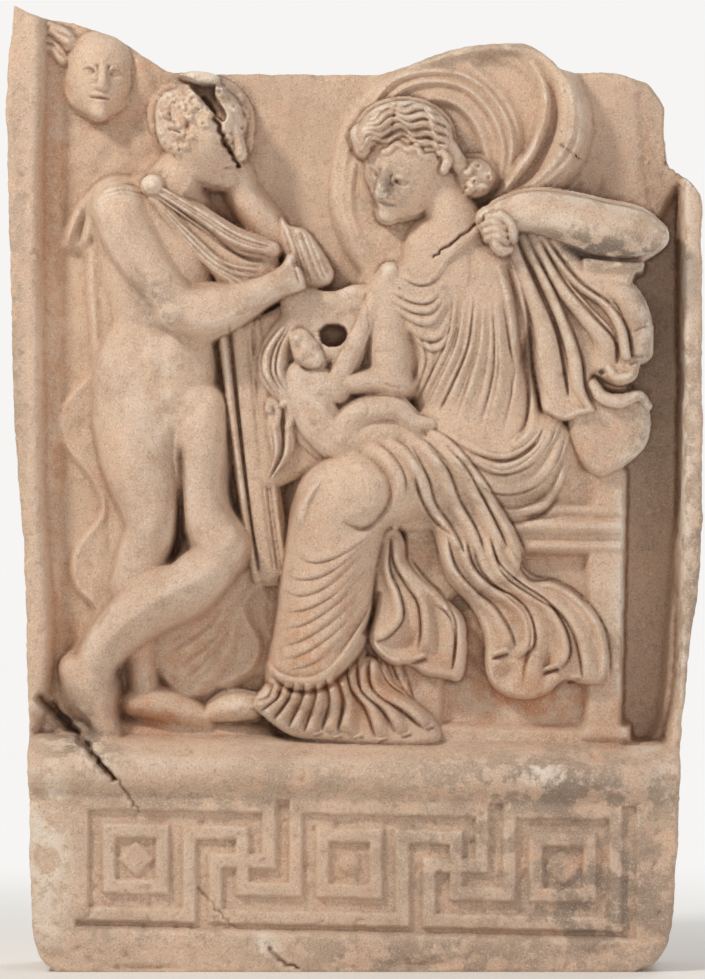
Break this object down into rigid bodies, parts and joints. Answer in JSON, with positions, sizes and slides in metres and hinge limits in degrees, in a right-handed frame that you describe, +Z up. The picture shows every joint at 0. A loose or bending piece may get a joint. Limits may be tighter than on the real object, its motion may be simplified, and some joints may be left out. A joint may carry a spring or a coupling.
{
  "type": "marble relief panel",
  "caption": "Upright marble wall slab carved in high relief with a standing nude, a seated draped figure holding a child and a small head, above a plinth band with a key pattern.",
  "frame": {"origin": "centre of the panel's bounding box, on the level of its underside", "axes": "+Z up, the carved face looks towards -Y, the flat back towards +Y, +X to the right of a viewer in front of the carving"},
  "size_m": [1.1588, 0.364, 1.6],
  "materials": {
    "marble": "weathered, once polished marble with a warm beige patina, orange stains and grey dirt"
  },
  "bodies": {
    "root": {"relief_panel": "marble"}
  },
  "joints": []
}
